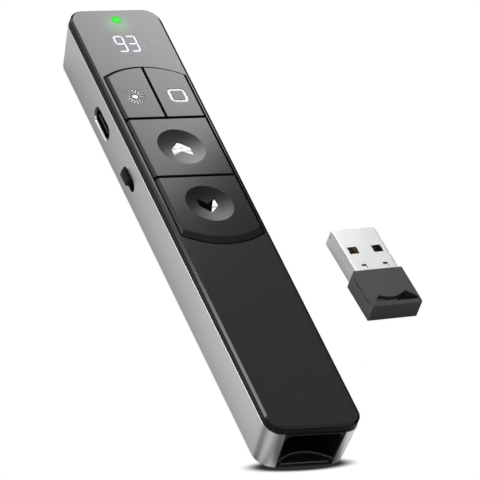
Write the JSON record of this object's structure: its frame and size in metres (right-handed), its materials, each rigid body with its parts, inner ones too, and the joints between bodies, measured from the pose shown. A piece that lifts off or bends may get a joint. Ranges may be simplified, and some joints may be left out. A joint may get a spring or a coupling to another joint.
{
  "type": "wireless presentation clicker",
  "caption": "Slim hand-held presentation clicker: silver side rails, black keyed top, lit charge display and a USB-A receiver lying beside it.",
  "frame": {"origin": "centre of the clicker's flat back face, where it lies on a desk", "axes": "+Z from the back up through the keys, +Y along the body to the laser end, +X to the right seen from above with the laser end away"},
  "size_m": [0.0605, 0.141, 0.0135],
  "materials": {
    "back_plastic": "fine matt texture",
    "barrel_brass": "turned",
    "battery_foil": "laminate foil",
    "board_green": "solder resist",
    "cap_black": "fine satin",
    "chip_black": "matt",
    "component_tan": "matt",
    "contact_gold": "plated",
    "cover_black": "satin piano black",
    "diode_gold": "plated",
    "display_white": "lit",
    "icon_white": "printed, satin",
    "inlay_silver": "mirror",
    "insert_black": "fine satin",
    "key_black": "fine satin",
    "lead_black": "satin",
    "lead_red": "satin",
    "led_chip": "clear",
    "lens_glass": "polished",
    "light_green": "lit",
    "magnet_nickel": "nickel plate",
    "module_grey": "satin",
    "pad_grey": "foam tape",
    "percent_dim": "faintly lit",
    "plug_steel": "bright nickel, satin",
    "plunger_black": "satin",
    "port_black": "matt",
    "port_steel": "drawn",
    "rail_aluminium": "satin, faintly brushed lengthwise",
    "screw_steel": "black zinc",
    "slider_black": "satin",
    "socket_white": "satin",
    "switch_steel": "pressed",
    "tongue_dark": "satin",
    "window_glass": "polished"
  },
  "bodies": {
    "clicker": {"back_cover": "back_plastic", "battery": "battery_foil", "battery_lead_black": "lead_black", "battery_lead_red": "lead_red", "battery_pad": "pad_grey", "battery_socket": "socket_white", "board_components": "component_tan", "body_screws": "screw_steel", "controller_chip": "chip_black", "crystal_can": "switch_steel", "display_module": "module_grey", "display_segments": "display_white", "laser_barrel": "barrel_brass", "laser_diode": "diode_gold", "laser_lens": "lens_glass", "laser_window": "window_glass", "left_rail": "rail_aluminium", "main_board": "board_green", "nose_insert": "insert_black", "percent_mark": "percent_dim", "power_switch_body": "switch_steel", "receiver_bay": "insert_black", "receiver_magnet": "magnet_nickel", "right_rail": "rail_aluminium", "status_led": "led_chip", "status_light_pipe": "light_green", "switch_bodies": "switch_steel", "top_cover": "cover_black", "usb_c_shell": "port_steel", "usb_c_tongue": "port_black"},
    "laser_button": {"laser_key": "key_black", "laser_icon": "icon_white", "laser_plunger": "plunger_black"},
    "screen_button": {"screen_key": "key_black", "screen_icon": "icon_white", "screen_plunger": "plunger_black"},
    "page_up_button": {"page_up_key": "key_black", "up_chevron": "inlay_silver", "up_plunger": "plunger_black"},
    "page_down_button": {"page_down_key": "key_black", "down_chevron": "inlay_silver", "down_plunger": "plunger_black"},
    "power_switch": {"power_slider": "slider_black"},
    "receiver": {"dongle_board": "board_green", "dongle_cap": "cap_black", "dongle_chip": "chip_black", "dongle_contacts": "contact_gold", "dongle_shell": "plug_steel", "dongle_tongue": "tongue_dark"}
  },
  "joints": [
    {"name": "laser_press", "type": "slide", "parent": "clicker", "child": "laser_button", "axis": [0, 0, -1], "range_m": [0, 0.0003], "stiffness_N_per_m": 800, "springref_m": -0.0005},
    {"name": "screen_press", "type": "slide", "parent": "clicker", "child": "screen_button", "axis": [0, 0, -1], "range_m": [0, 0.0003], "stiffness_N_per_m": 800, "springref_m": -0.0005},
    {"name": "page_up_press", "type": "slide", "parent": "clicker", "child": "page_up_button", "axis": [0, 0, -1], "range_m": [0, 0.0003], "stiffness_N_per_m": 800, "springref_m": -0.0005},
    {"name": "page_down_press", "type": "slide", "parent": "clicker", "child": "page_down_button", "axis": [0, 0, -1], "range_m": [0, 0.0003], "stiffness_N_per_m": 800, "springref_m": -0.0005},
    {"name": "power_slide", "type": "slide", "parent": "clicker", "child": "power_switch", "axis": [0, -1, 0], "range_m": [0, 0.0022]},
    {"name": "receiver_lift", "type": "slide", "parent": "clicker", "child": "receiver", "axis": [0, 0, 1], "range_m": [0, 0.04]}
  ]
}
